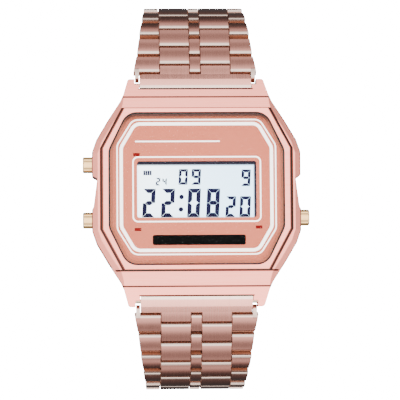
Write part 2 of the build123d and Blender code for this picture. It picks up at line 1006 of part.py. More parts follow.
def clasp_arc():
    """The clasp's arc through both end hinges: radius, centre height and half angle in radians."""
    y, z, heading = loop_path()[-1]
    half_angle = math.radians(180 - heading)
    radius = y / math.sin(half_angle)
    return radius, z + radius * math.cos(half_angle), half_angle


arc_radius, arc_centre_z, arc_half = clasp_arc()


def arc_place(offset_out, angle):
    """A point (y, z) at an offset outside the hinge arc and an angle from straight down."""
    radius = arc_radius + offset_out
    return radius * math.sin(angle), arc_centre_z - radius * math.cos(angle)


def arc_plate(inner, outer, x0, x1, start, stop):
    """A curved plate between two offsets, two x values and two angles."""
    middle = (start + stop) / 2
    near = [(x0, *arc_place(outer, angle)) for angle in (start, middle, stop)]
    far = [(x0, *arc_place(inner, angle)) for angle in (stop, middle, start)]
    edges = [ThreePointArc(*near), Line(near[-1], far[0]), ThreePointArc(*far), Line(far[-1], near[0])]
    return Solid.extrude(Face(Wire(edges)), Vector(x1 - x0, 0, 0))


def arc_rod(radius, x0, x1, offset_out, angle):
    return rod(radius, x0, x1, *arc_place(offset_out, angle))


def along(length):
    """An angle for a length along the hinge arc."""
    return length / arc_radius


cover_pin_angle = -arc_half + along(clasp_pin_setback)
fold_pin_angle = arc_half - along(adjust_spacing * (adjust_holes - 1) + clasp_pin_setback)
web_end_angle = arc_half - along(knuckle_radius + web_end_gap)


def clasp_cover():
    """The outer shell with its side flanges, adjusting holes and the pin at its 6 o'clock end."""
    half = clasp_half_width
    wall = half - flange_thickness
    out = web_offset + web_thickness
    body = arc_plate(web_offset, out, -half, half, cover_pin_angle, web_end_angle)
    for x0, x1 in ((wall, half), (-half, -wall)):
        body += arc_plate(-flange_depth, out, x0, x1, cover_pin_angle, web_end_angle)
        body += arc_rod(ear_radius, x0, x1, -clasp_pin_drop, cover_pin_angle)
        body += arc_plate(-ear_radius, ear_radius, x0, x1, web_end_angle, arc_half)
        body += arc_rod(ear_radius, x0, x1, 0, arc_half)
    for step in range(adjust_holes):
        body -= arc_rod(adjust_radius, -half - cut_over, half + cut_over, 0, arc_half - along(step * adjust_spacing))
    body -= arc_rod(clasp_pin_radius, -half - cut_over, half + cut_over, -clasp_pin_drop, cover_pin_angle)
    pin = arc_rod(clasp_pin_radius, -half + pin_inset, half - pin_inset, -clasp_pin_drop, cover_pin_angle)
    return group([body, pin])


def blade_slot(half, offset):
    """The opening along a blade, cut through from both sides."""
    inner, outer = -offset - cut_over, blade_thickness - offset + cut_over
    wide = half - slot_side
    return arc_plate(inner, outer, -wide, wide, cover_pin_angle + along(slot_end), fold_pin_angle - along(slot_end))


def clasp_middle_blade():
    half = middle_blade_half
    inner, outer = -middle_blade_offset, blade_thickness - middle_blade_offset
    body = arc_plate(inner, outer, -half, half, cover_pin_angle, fold_pin_angle)
    body -= blade_slot(half, middle_blade_offset)
    for angle in (cover_pin_angle, fold_pin_angle):
        body += arc_rod(eye_radius, -half, half, -clasp_pin_drop, angle)
    for angle in (cover_pin_angle, fold_pin_angle):
        body -= arc_rod(clasp_pin_radius + pin_clearance, -half - cut_over, half + cut_over, -clasp_pin_drop, angle)
    return body


def clasp_inner_blade():
    """The blade next to the wrist, with ears for the last link's bar and for the fold's pin."""
    half = tab_outer + ear_gap + ear_thickness
    inner, outer = -inner_blade_offset, blade_thickness - inner_blade_offset
    ear = middle_blade_half + ear_gap
    body = arc_plate(inner, outer, -half, half, -arc_half - along(ear_radius), fold_pin_angle + along(eye_radius))
    body -= blade_slot(middle_blade_half, inner_blade_offset)
    for side in (1, -1):
        x0, x1 = sorted((side * (half - ear_thickness), side * half))
        body += arc_plate(inner, 0, x0, x1, -arc_half - along(ear_radius), -arc_half + along(ear_radius))
        body += arc_rod(ear_radius, x0, x1, 0, -arc_half)
        x0, x1 = sorted((side * ear, side * (ear + ear_thickness)))
        body += arc_plate(inner, -clasp_pin_drop, x0, x1, fold_pin_angle - along(eye_radius), fold_pin_angle + along(eye_radius))
        body += arc_rod(eye_radius, x0, x1, -clasp_pin_drop, fold_pin_angle)
    body -= arc_rod(end_bar_radius, -half - cut_over, half + cut_over, 0, -arc_half)
    fold_half = ear + ear_thickness
    body -= arc_rod(clasp_pin_radius, -fold_half - cut_over, fold_half + cut_over, -clasp_pin_drop, fold_pin_angle)
    bar = arc_rod(end_bar_radius, -half + pin_inset, half - pin_inset, 0, -arc_half)
    pin = arc_rod(clasp_pin_radius, -fold_half, fold_half, -clasp_pin_drop, fold_pin_angle)
    return group([body, bar, pin])


def main():
    os.makedirs("parts", exist_ok=True)
    fixed = {
        "case_body": case_body(),
        "crystal": crystal(),
        "crystal_gasket": crystal_gasket(),
        "dial_plate": dial_plate(),
        "lcd_panel": lcd_panel(),
        "light_guide": light_guide(),
        "elastomer_strips": elastomer_strips(),
        "module_frame": module_frame(),
        "circuit_board": circuit_board(),
        "board_components": board_components(),
        "coin_cell": coin_cell(),
        "cell_clip": cell_clip(),
        "switch_leaves": switch_leaves(),
        "piezo_disc": piezo_disc(),
        "piezo_spring": piezo_spring(),
        "back_gasket": gasket_ring(),
        "case_back": case_back(),
        "case_back_screws": case_back_screws(),
        "lug_spring_bars": lug_spring_bars(),
        "pusher_seals": pusher_seals(),
        "clasp_cover": clasp_cover(),
        "clasp_middle_blade": clasp_middle_blade(),
        "clasp_inner_blade": clasp_inner_blade(),
    }
    for name, side, y in pusher_places():
        fixed["pusher_" + name] = pusher(side, y)
        fixed["spring_" + name] = pusher_spring(side, y)
    fixed["end_link_12"] = end_link()
    fixed["end_link_6"] = end_link().moved(Rot(0, 0, 180))
    for node, shape in fixed.items():
        export_step(shape, f"parts/{node}.step")
    path = loop_path()
    for end, name in ((1, "12"), (-1, "6")):
        for index in range(links_per_side):
            y, z, heading = path[index]
            shape = placed(link(index, end), y, z, heading, end)
            export_step(shape, f"parts/link_{name}_{index + 1:02d}.step")


main()
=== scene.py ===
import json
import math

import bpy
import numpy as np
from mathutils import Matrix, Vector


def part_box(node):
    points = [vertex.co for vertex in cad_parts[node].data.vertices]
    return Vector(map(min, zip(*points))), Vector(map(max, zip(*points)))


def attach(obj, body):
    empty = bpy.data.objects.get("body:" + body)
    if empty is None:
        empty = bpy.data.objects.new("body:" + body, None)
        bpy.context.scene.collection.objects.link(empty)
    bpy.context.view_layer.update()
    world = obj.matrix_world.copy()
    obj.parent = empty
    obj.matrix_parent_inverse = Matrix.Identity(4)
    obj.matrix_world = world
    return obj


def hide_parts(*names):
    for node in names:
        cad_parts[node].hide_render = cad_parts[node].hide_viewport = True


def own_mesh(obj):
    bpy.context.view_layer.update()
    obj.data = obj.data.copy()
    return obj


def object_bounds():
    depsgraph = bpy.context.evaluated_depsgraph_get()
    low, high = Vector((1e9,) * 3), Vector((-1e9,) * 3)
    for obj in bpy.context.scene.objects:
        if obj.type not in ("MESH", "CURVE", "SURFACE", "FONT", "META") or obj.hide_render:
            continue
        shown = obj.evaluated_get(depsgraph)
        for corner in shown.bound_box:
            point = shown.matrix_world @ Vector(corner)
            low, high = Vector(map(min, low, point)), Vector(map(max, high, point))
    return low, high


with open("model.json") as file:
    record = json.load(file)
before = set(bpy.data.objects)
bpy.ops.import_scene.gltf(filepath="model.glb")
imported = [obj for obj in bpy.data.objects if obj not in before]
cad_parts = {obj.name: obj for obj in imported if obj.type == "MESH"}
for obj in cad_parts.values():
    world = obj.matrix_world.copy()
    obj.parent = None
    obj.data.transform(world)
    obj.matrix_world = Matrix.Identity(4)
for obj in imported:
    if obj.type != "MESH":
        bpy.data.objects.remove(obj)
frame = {"nodes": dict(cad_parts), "record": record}
# %% [markdown]
# A small octagonal digital watch on a five-row link bracelet, dressed in Blender.
# The solids of the case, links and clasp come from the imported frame. This script adds what a
# solid can't carry: the digits of the display, the printed colours, the coils of the springs and
# the finish of every part.
#
# Lengths are metres in Blender. The shader groups and the sizes named below are in millimetres,
# because every size on the watch was measured that way.

MM = 0.001
cad_box = [list(corner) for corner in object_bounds()]
nodes = frame["nodes"]
finish = {}
print("packed nodes:", len(nodes), "in the box", cad_box)

# %% [markdown]
# Every finish starts as one Principled shader. A constant goes straight on its socket, and only
# what changes over the surface is linked, so that the export can bake it. These small helpers
# make the nodes, so that a finish below reads as a sentence. A fade is named by two spots: where it
# is 0 and where it is 1.

# %% Shader helpers


def new_material(name, colour, roughness, metallic=0.0):
    """A material with one Principled shader; returns (material, node tree, shader)."""
    material = bpy.data.materials.new(name)
    material.use_nodes = True
    tree = material.node_tree
    shader = tree.nodes["Principled BSDF"]
    shader.inputs["Base Color"].default_value = (*colour, 1.0)
    shader.inputs["Roughness"].default_value = roughness
    shader.inputs["Metallic"].default_value = metallic
    return material, tree, shader


def set_values(node, values):
    """Sets a node's inputs by name, where _ stands for a space."""
    for name, value in values.items():
        node.inputs[name.replace("_", " ")].default_value = value
    return node


def add_node(tree, kind, **values):
    """A node of a kind, with input values set by name."""
    return set_values(tree.nodes.new(kind), values)


def use_group(tree, group, **values):
    """A shared group placed in a tree, with input values set by name."""
    node = tree.nodes.new("ShaderNodeGroup")
    node.node_tree = group
    return set_values(node, values)


def group_tree(name, inputs, outputs):
    """An empty group; a triple as default, or the output name Normal, makes a vector socket."""
    tree = bpy.data.node_groups.new(name, "ShaderNodeTree")
    for label, value in inputs.items():
        kind = "NodeSocketVector" if isinstance(value, tuple) else "NodeSocketFloat"
        socket = tree.interface.new_socket(name=label, in_out="INPUT", socket_type=kind)
        socket.default_value = value
    for label in outputs:
        kind = "NodeSocketVector" if label == "Normal" else "NodeSocketFloat"
        tree.interface.new_socket(name=label, in_out="OUTPUT", socket_type=kind)
    return tree, tree.nodes.new("NodeGroupInput").outputs, tree.nodes.new("NodeGroupOutput").inputs


def math_node(tree, operation, first, second=0.0):
    """One Math node; each operand is a socket or a number."""
    node = tree.nodes.new("ShaderNodeMath")
    node.operation = operation
    for socket, value in zip(node.inputs, (first, second)):
        if isinstance(value, (int, float)):
            socket.default_value = value
        else:
            tree.links.new(value, socket)
    return node.outputs[0]


def times(tree, first, second):
    """first * second, which is also where two masks overlap."""
    return math_node(tree, "MULTIPLY", first, second)


def minus(tree, first, second):
    """first - second."""
    return math_node(tree, "SUBTRACT", first, second)


def distance(tree, value, middle=0.0):
    """|value - middle|."""
    return math_node(tree, "ABSOLUTE", minus(tree, value, middle))


def fade(tree, value, spots):
    """0 at the first spot, 1 at the second, 3t^2 - 2t^3 between; the first may be the larger."""
    node = tree.nodes.new("ShaderNodeMapRange")
    node.interpolation_type = "SMOOTHSTEP"
    tree.links.new(value, node.inputs["Value"])
    node.inputs["From Min"].default_value, node.inputs["From Max"].default_value = spots
    return node.outputs["Result"]


def band(tree, value, spots):
    """Fades in from the first spot to the second, and out from the third to the fourth."""
    rise, full, fall, end = spots
    return times(tree, fade(tree, value, (rise, full)), fade(tree, value, (end, fall)))


def blend(tree, factor, first, second):
    """Mix of two colours, each a socket or a plain triple."""
    node = tree.nodes.new("ShaderNodeMix")
    node.data_type = "RGBA"
    tree.links.new(factor, node.inputs["Factor"])
    for label, value in (("A", first), ("B", second)):
        if isinstance(value, tuple):
            node.inputs[label].default_value = (*value, 1.0)
        else:
            tree.links.new(value, node.inputs[label])
    return node.outputs["Result"]


def recolour(tree, shader, mask, colour, weight=1.0):
    """Mixes one more colour over what feeds Base Color, as far as mask * weight."""
    base = shader.inputs["Base Color"]
    before = base.links[0].from_socket
    tree.links.new(blend(tree, times(tree, mask, weight), before, colour), base)


print("shader helpers ready")

# %% [markdown]
# Patterns are placed by Object coordinates. They come in metres, and all the numbers of this watch
# are in millimetres, so one group turns them into X, Y and Z in millimetres for every material.

# %% Where a point is, in millimetres


def point_in_mm(tree):
    """Object coordinates divided by a millimetre, as one vector."""
    place = tree.nodes.new("ShaderNodeTexCoord")
    unit = tree.nodes.new("ShaderNodeVectorMath")
    unit.operation = "SCALE"
    unit.inputs["Scale"].default_value = 1 / MM
    tree.links.new(place.outputs["Object"], unit.inputs[0])
    return unit.outputs[0]


def make_place_group():
    """The point's X, Y and Z, each as a number of its own."""
    tree, _, target = group_tree("place_mm", {}, "XYZ")
    split = tree.nodes.new("ShaderNodeSeparateXYZ")
    tree.links.new(point_in_mm(tree), split.inputs[0])
    for axis in "XYZ":
        tree.links.new(split.outputs[axis], target[axis])
    return tree


place_group = make_place_group()
print("group", place_group.name, "ready")

# %% [markdown]
# Brushed and polished metal is drawn as noise stretched along one direction: long thin streaks
# that vary the tone, the roughness and a very low bump. The stretch multiplies the place by a
# small number along the brushing and by a large one across it. Plastic and rubber use the same
# group with the same number in all directions, which gives a fine mottle.

# %% Grain for metal, plastic and rubber
STREAK_SPAN = (0.3, 0.7)
GRAIN_HEIGHT = 0.02 * MM


def make_grain_group():
    """streak = noise(p * scale), spread from 0.3..0.7 to 0..1, and roughness from Low to High."""
    tree, source, target = group_tree(
        "metal_grain",
        {"Scale": (8.0, 0.2, 0.2), "Depth": 0.05, "Low": 0.25, "High": 0.4},
        ("Streak", "Roughness", "Normal"),
    )
    link = tree.links.new
    stretch = tree.nodes.new("ShaderNodeVectorMath")
    stretch.operation = "MULTIPLY"
    link(point_in_mm(tree), stretch.inputs[0])
    link(source["Scale"], stretch.inputs[1])
    noise = add_node(tree, "ShaderNodeTexNoise", Scale=1.0, Detail=3.0, Roughness=0.6)
    link(stretch.outputs[0], noise.inputs["Vector"])
    grain = noise.outputs["Fac"]
    span = add_node(tree, "ShaderNodeMapRange", From_Min=STREAK_SPAN[0], From_Max=STREAK_SPAN[1])
    link(grain, span.inputs["Value"])
    link(source["Low"], span.inputs["To Min"])
    link(source["High"], span.inputs["To Max"])
    bump = add_node(tree, "ShaderNodeBump", Distance=GRAIN_HEIGHT)
    link(grain, bump.inputs["Height"])
    link(source["Depth"], bump.inputs["Strength"])
    link(fade(tree, grain, STREAK_SPAN), target["Streak"])
    link(span.outputs["Result"], target["Roughness"])
    link(bump.outputs["Normal"], target["Normal"])
    return tree


grain_group = make_grain_group()


def grained(name, colour, shade, scale, rough, bump, metallic=1.0):
    """A material whose tone, roughness and bump follow the grain; rough is (lowest, highest)."""
    material, tree, shader = new_material(name, colour, rough[0], metallic)
    grain = use_group(tree, grain_group, Scale=scale, Low=rough[0], High=rough[1], Depth=bump)
    tree.links.new(blend(tree, grain.outputs["Streak"], shade, colour), shader.inputs["Base Color"])
    tree.links.new(grain.outputs["Roughness"], shader.inputs["Roughness"])
    tree.links.new(grain.outputs["Normal"], shader.inputs["Normal"])
    return material, tree, shader


print("group", grain_group.name, "ready")

# %% [markdown]
# The case is plated in rose gold and polished, with faint lines along X. A polished case mirrors
# dark screens along its edges in a studio. Here these dark lines are painted where the photograph
# has them: at the rim's foot, along the border beside it, at the crease of each end band, at the
# band's outer edge by the end link, and across the rim's end at 6 o'clock.

# %% The polished case
ROSE = (0.97, 0.33, 0.25)
ROSE_SHADE = (0.92, 0.28, 0.21)
# The colour of the painted dark lines: painted shade and dark reflection along the rim's foot, the
# border, the creases and the band's edge.
PAINTED_DARK_LINE = (0.035, 0.013, 0.01)
CASE_GRAIN = ((0.15, 5.0, 5.0), (0.12, 0.20), 0.01)  # streaks per millimetre, roughness, bump
RIM_FOOT_Z, RIM_FOOT_WEIGHT = (7.13, 7.20, 7.50, 7.60), 0.85
BORDER_Z, BORDER_Y = (6.1, 6.2, 6.4, 6.5), (12.6, 12.0)
CREASE_Y, CREASE_REACH, CREASE_X = 15.2, (0.18, 0.07), (12.5, 12.3)
BAND_EDGE_Y, BAND_EDGE_REACH, BAND_EDGE_X = 16.64, (0.14, 0.06), (9.3, 9.2)
RIM_LOW_Y, RIM_LOW_REACH, RIM_LOW_Z = -12.68, (0.2, 0.1), (6.5, 6.7)


def case_finish():
    """Each dark line is a band of heights or a reach from a line, cut off where it ends."""
    material, tree, shader = grained("case_polished", ROSE, ROSE_SHADE, *CASE_GRAIN)
    place = use_group(tree, place_group).outputs
    across, along = distance(tree, place["X"]), distance(tree, place["Y"])
    foot = times(tree, band(tree, place["Z"], RIM_FOOT_Z), RIM_FOOT_WEIGHT)
    crease = fade(tree, distance(tree, along, CREASE_Y), CREASE_REACH)
    band_edge = fade(tree, distance(tree, along, BAND_EDGE_Y), BAND_EDGE_REACH)
    rim_low = fade(tree, distance(tree, place["Y"], RIM_LOW_Y), RIM_LOW_REACH)
    lines = [
        foot,
        times(tree, crease, fade(tree, across, CREASE_X)),
        times(tree, band(tree, place["Z"], BORDER_Z), fade(tree, along, BORDER_Y)),
        times(tree, band_edge, fade(tree, across, BAND_EDGE_X)),
        times(tree, rim_low, fade(tree, place["Z"], RIM_LOW_Z)),
    ]
    for line in lines:
        recolour(tree, shader, line, PAINTED_DARK_LINE)
    return material


finish["case"] = case_finish()
print("case finish ready, plating", ROSE)

# %% [markdown]
# The clasp is brushed along its length, the pushers are yellower gold, and the back, the springs
# and the contacts are bare metals. They differ in tone and in how the brush ran, so one table
# makes them.

# %% Clasp, pushers and bare metals
LINK = (0.80, 0.35, 0.28)
CLASP_TONE, CLASP_SHADE_TONE = 0.7, 0.6


def toned(colour, tone):
    """A colour times a tone, channel by channel."""
    return tuple(channel * tone for channel in colour)


CLASP, CLASP_SHADE = toned(LINK, CLASP_TONE), toned(LINK, CLASP_SHADE_TONE)
GOLD, GOLD_SHADE = (0.86, 0.54, 0.24), (0.80, 0.48, 0.20)
STEEL, STEEL_SHADE = (0.62, 0.61, 0.60), (0.48, 0.47, 0.46)
WIRE, WIRE_SHADE = (0.60, 0.52, 0.40), (0.45, 0.38, 0.28)
BRASS, BRASS_SHADE = (0.78, 0.60, 0.28), (0.62, 0.44, 0.18)
# Part: name, light colour, dark colour, streaks per millimetre, roughness, bump
METALS = {
    "clasp": ("clasp_brushed", CLASP, CLASP_SHADE, (9.0, 0.15, 0.15), (0.26, 0.38), 0.06),
    "pusher": ("pusher_gold", GOLD, GOLD_SHADE, (0.5, 6.0, 6.0), (0.12, 0.2), 0.02),
    "steel": ("back_steel", STEEL, STEEL_SHADE, (9.0, 0.15, 9.0), (0.25, 0.4), 0.05),
    "spring": ("spring_steel", WIRE, WIRE_SHADE, (4.0, 4.0, 4.0), (0.25, 0.35), 0.03),
    "brass": ("contact_brass", BRASS, BRASS_SHADE, (3.0, 3.0, 3.0), (0.25, 0.4), 0.03),
}
for part, recipe in METALS.items():
    finish[part] = grained(*recipe)[0]
print("metals ready:", ", ".join(METALS))

# %% [markdown]
# A link is brushed along its length. Each row starts with a painted highlight on its rounded edge
# and has painted shade deepening towards its other end, and the gaps between the rows get a painted
# copper reflection, because there the metal mostly mirrors itself. The pattern has to follow each
# link round the wrist. So the group is told where the link's hinge is and how far the link is
# turned, and works out the place on the link itself.

# %% Where a point lies on its own link
ROW_START, TAB_START, ROW_LENGTH = -0.6, 0.95, 2.8  # along the link from its hinge
TAB_ROWS_X = (0.88, 5.74)  # from the centre line
SKIN_HEIGHT = 0.78  # of the crowned top over the hinge
GAP_DEPTH = (0.0, 0.4)  # under that height
UNDERSIDE = (-0.7, -0.5)  # heights by the hinge
SIDE_FACING = 0.6  # the normal's |x| from which a face is a link's side
# The reach of the painted highlight from each row's start.
EDGE_HIGHLIGHT_REACH = (0.5, 0.2)  # from a row's start


def make_link_group():
    """The place on a link, from its hinge (y0, z0) and its heading h below the horizontal.

    along = s (y - y0) cos h - (z - z0) sin h and height = s (y - y0) sin h + (z - z0) cos h,
    with s = 1 at 12 o'clock and -1 at 6. Depth is 1 down in the gaps, and 0 on the upper skin,
    the sides and the underside. Edge is 1 at the start of each row. Far runs from 0 there to 1
    at the row's other end. The tab rows, between two distances from the centre line, start
    later than the others.
    """
    tree, source, target = group_tree(
        "link_rows",
        {
            "Hinge Y": 0.0, "Hinge Z": 0.0, "Side": 1.0, "Sine": 0.0, "Cosine": 1.0,
            "Start": ROW_START, "Tab Start": TAB_START, "Length": ROW_LENGTH,
        },
        ("Depth", "Edge", "Far"),
    )
    place = use_group(tree, place_group).outputs
    out = times(tree, minus(tree, place["Y"], source["Hinge Y"]), source["Side"])
    up = minus(tree, place["Z"], source["Hinge Z"])
    along = minus(tree, times(tree, out, source["Cosine"]), times(tree, up, source["Sine"]))
    rise, level = times(tree, out, source["Sine"]), times(tree, up, source["Cosine"])
    height = math_node(tree, "ADD", rise, level)

    across = distance(tree, place["X"])
    past_centre_row = math_node(tree, "GREATER_THAN", across, TAB_ROWS_X[0])
    before_outer_row = math_node(tree, "LESS_THAN", across, TAB_ROWS_X[1])
    later = minus(tree, source["Tab Start"], source["Start"])
    shift = times(tree, times(tree, past_centre_row, before_outer_row), later)
    run = minus(tree, along, math_node(tree, "ADD", source["Start"], shift))
    share = math_node(tree, "DIVIDE", run, source["Length"])

    geometry = tree.nodes.new("ShaderNodeNewGeometry")
    facing = tree.nodes.new("ShaderNodeSeparateXYZ")
    tree.links.new(geometry.outputs["Normal"], facing.inputs[0])
    not_a_side = math_node(tree, "LESS_THAN", distance(tree, facing.outputs["X"]), SIDE_FACING)
    inside = times(tree, not_a_side, fade(tree, height, UNDERSIDE))
    depth = times(tree, fade(tree, minus(tree, SKIN_HEIGHT, height), GAP_DEPTH), inside)

    tree.links.new(depth, target["Depth"])
    tree.links.new(fade(tree, run, EDGE_HIGHLIGHT_REACH), target["Edge"])
    tree.links.new(fade(tree, share, (0.0, 1.0)), target["Far"])
    return tree


link_group = make_link_group()
print("group", link_group.name, "ready")

# %% [markdown]
# Away from the case the bracelet turns down and mirrors a darker room. Part of that is painted
# shade: the tone falls over the first links, to match the photograph, and rises again from the sixth
# on, which the photograph doesn't show, so that the sides of the loop aren't black. The end link's
# painted tone is as bright as the case, and it has one long row.

# %% The links' finishes
# Painted light on the links: a painted highlight at each row's start, a painted copper reflection in
# the gaps, and painted shade in the tones per link and towards each row's far end.
LINK_EDGE_HIGHLIGHT = (1.0, 0.78, 0.66)
GAP_REFLECTION = (0.50, 0.17, 0.09)
PAINTED_LINK_TONES = [0.46, 0.42, 0.25, 0.24, 0.25, 0.42]
LINK_GRAIN = ((9.0, 0.12, 0.12), (0.22, 0.30), 0.005)
LIGHT_STREAK = 1.1
FAR_SHADE_TONE, FAR_SHADE_WEIGHT = 0.42, 0.85
EDGE_HIGHLIGHT_WEIGHT, EDGE_HIGHLIGHT_POWER = 0.8, 0.5
GAP_REFLECTION_POWER, GAP_REFLECTION_DULLNESS = 0.25, 0.85
END_LINK_PAINTED_TONE, END_LINK_HEADING = 1.05, math.radians(20.0)
LINK_ROWS = {"Start": ROW_START, "Tab_Start": TAB_START, "Length": ROW_LENGTH}
END_LINK_ROW = {"Start": -4.0, "Tab_Start": -4.0, "Length": 4.6}


def link_finish(name, hinge, heading, side, tone, row_places):
    """Brushed plating for one link, with a painted highlight on the row edges, painted shade towards
    each row's far end and a painted copper reflection in the gaps. The shade at the far end goes
    with tone * 0.42, the highlights with tone^0.5 and the reflection with tone^0.25, so the
    highlights and the reflection change less from link to link than the plating does.
    """
    light, dark = toned(LINK, tone * LIGHT_STREAK), toned(LINK, tone)
    material, tree, shader = grained(name + "_brushed", light, dark, *LINK_GRAIN)
    rows = use_group(
        tree,
        link_group,
        Hinge_Y=hinge[0] / MM,
        Hinge_Z=hinge[1] / MM,
        Side=side,
        Sine=math.sin(heading),
        Cosine=math.cos(heading),
        **row_places,
    ).outputs
    recolour(tree, shader, rows["Far"], toned(LINK, tone * FAR_SHADE_TONE), FAR_SHADE_WEIGHT)
    recolour(tree, shader, rows["Edge"], toned(LINK_EDGE_HIGHLIGHT, tone ** EDGE_HIGHLIGHT_POWER), EDGE_HIGHLIGHT_WEIGHT)
    recolour(tree, shader, rows["Depth"], toned(GAP_REFLECTION, tone ** GAP_REFLECTION_POWER))
    bare = minus(tree, 1.0, times(tree, rows["Depth"], GAP_REFLECTION_DULLNESS))
    tree.links.new(bare, shader.inputs["Metallic"])
    return material


def hinge_places(side, sign):
    """Hinge centres (y, z) of one half of the loop, case end first, then the clasp's end."""
    records = frame["record"]["behaviour"]["joints"]
    joints = {joint["name"]: joint["pos_m"] for joint in records if "hinge" in joint["name"]}
    names = sorted(name for name in joints if name.startswith(f"hinge_{side}_"))
    places = [tuple(joints[name][1:]) for name in names]
    _, clasp_y, clasp_z = joints["hinge_clasp"]
    return places + [(sign * abs(clasp_y), clasp_z)]


def heading_between(near, far, sign):
    """Angle below the horizontal from one hinge to the next: the arctangent of drop over reach."""
    return math.atan2(near[1] - far[1], sign * (far[0] - near[0]))


for side, sign in (("12", 1), ("6", -1)):
    places = hinge_places(side, sign)
    end_link = f"end_link_{side}"
    finish[end_link] = link_finish(
        end_link, places[0], END_LINK_HEADING, sign, END_LINK_PAINTED_TONE, END_LINK_ROW
    )
    for index, (near, far) in enumerate(zip(places, places[1:])):
        name = f"link_{side}_{index + 1:02d}"
        tone = PAINTED_LINK_TONES[min(index, len(PAINTED_LINK_TONES) - 1)]
        heading = heading_between(near, far, sign)
        finish[name] = link_finish(name, near, heading, sign, tone, LINK_ROWS)
    print(side, "side:", len(places) - 1, "link finishes")

# %% [markdown]
# The dial is one satin plate, and its lines, dashes and bar stand a little proud of it, as print
# does. So the print's colour starts at a height, and boxes choose the red dashes and the black bar.
# The plate has painted shade at its upper end and its sides, where the case shades it. The print
# glows a little, so that it stays white under the crystal.

# %% A box on the dial


def make_box_group():
    """Inside = 1 where |x - cx| < hx and |y - cy| < hy, in millimetres on the dial."""
    tree, source, target = group_tree(
        "dial_box", {"Middle X": 0.0, "Middle Y": 0.0, "Half X": 1.0, "Half Y": 1.0}, ("Inside",)
    )
    place = use_group(tree, place_group).outputs
    inside = []
    for axis in "XY":
        gap = distance(tree, place[axis], source["Middle " + axis])
        inside.append(math_node(tree, "LESS_THAN", gap, source["Half " + axis]))
    tree.links.new(times(tree, *inside), target["Inside"])
    return tree


box_group = make_box_group()
print("group", box_group.name, "ready")

# %% [markdown]
# The print is the plate's highest layer, so the plate's box gives the height where it starts.
# Shades and print are laid over the satin one after the other, and each covers what is below it.

# %% The dial
PRINT_HEIGHT, PRINT_RISE = 0.05, 0.02
DIAL_GRAIN = ((9.0, 5.0, 9.0), (0.36, 0.5), 0.12)
dial_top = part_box("dial_plate")[1][2] / MM - PRINT_HEIGHT
SALMON, SALMON_SHADE = (0.76, 0.21, 0.13), (0.66, 0.165, 0.095)
SATIN_METALLIC, SATIN_SPECULAR = 0.25, 0.03
# Painted shade at the plate's upper end and at its sides.
TOP_SHADE, TOP_SHADE_Y, TOP_SHADE_WEIGHT = (0.22, 0.07, 0.04), (11.3, 12.6), 0.75
SIDE_SHADE, SIDE_SHADE_X, SIDE_SHADE_WEIGHT = (0.40, 0.15, 0.09), (12.9, 14.2), 0.45
PRINT_WHITE, PRINT_GLOW = (1.0, 0.95, 0.90), 2.5
DASH_RED, DASH_HALVES = (0.11, 0.004, 0.004), {"Half_X": 0.52, "Half_Y": 0.24}
DASH_MIDDLES = [(-9.61, 5.9), (-9.41, -6.1), (9.97, -5.8)]
BAR_BLACK = (0.001, 0.001, 0.001)
BLACK_BAR = {"Middle_X": 0.375, "Middle_Y": -7.8, "Half_X": 7.6, "Half_Y": 1.2}


def dial_finish():
    """Satin salmon with fine speckle and painted shade at the edges, under white, red and black
    print.
    """
    material, tree, shader = grained("dial_satin", SALMON, SALMON_SHADE, *DIAL_GRAIN)
    shader.inputs["Metallic"].default_value = SATIN_METALLIC
    shader.inputs["Specular IOR Level"].default_value = SATIN_SPECULAR
    place = use_group(tree, place_group).outputs
    recolour(tree, shader, fade(tree, place["Y"], TOP_SHADE_Y), TOP_SHADE, TOP_SHADE_WEIGHT)
    side = fade(tree, distance(tree, place["X"]), SIDE_SHADE_X)
    recolour(tree, shader, side, SIDE_SHADE, SIDE_SHADE_WEIGHT)
    proud = math_node(tree, "GREATER_THAN", minus(tree, place["Z"], dial_top), PRINT_RISE)
    recolour(tree, shader, proud, PRINT_WHITE)
    for x, y in DASH_MIDDLES:
        dash = use_group(tree, box_group, Middle_X=x, Middle_Y=y, **DASH_HALVES)
        recolour(tree, shader, dash.outputs["Inside"], DASH_RED)
    bar = use_group(tree, box_group, **BLACK_BAR)
    recolour(tree, shader, times(tree, bar.outputs["Inside"], proud), BAR_BLACK)
    printed = shader.inputs["Base Color"].links[0].from_socket
    tree.links.new(blend(tree, proud, (0.0, 0.0, 0.0), printed), shader.inputs["Emission Color"])
    shader.inputs["Emission Strength"].default_value = PRINT_GLOW
    return material


finish["dial"] = dial_finish()
print("dial finish ready, plate's top at", round(dial_top, 3), "mm, dashes:", len(DASH_MIDDLES))

# %% [markdown]
# A liquid crystal display is a pale, faintly mottled sheet behind glass. It glows here, because in
# the photograph it is nearly white. It is palest at the left and bluer at the right, and a soft
# shadow of the dial's window is painted on it along the top and at the right.

# %% The display
DISPLAY_LEFT, DISPLAY_RIGHT = (0.80, 0.93, 1.0), (0.50, 0.74, 0.95)
DISPLAY_SPAN_X = (-11.0, 6.0)
MOTTLE, MOTTLE_WEIGHT, MOTTLE_PER_M = (0.45, 0.62, 0.80), 0.12, 900.0
# The painted shadow of the dial's window, along the display's top and right side.
PAINTED_WINDOW_SHADOW = (0.006, 0.005, 0.01)
SHADOW_TOP_Y, SHADOW_RIGHT_X = (4.05, 4.45), (9.1, 9.4)
DISPLAY_GLOW, DISPLAY_SPECULAR, DISPLAY_ROUGHNESS = 4.0, 0.1, 0.25


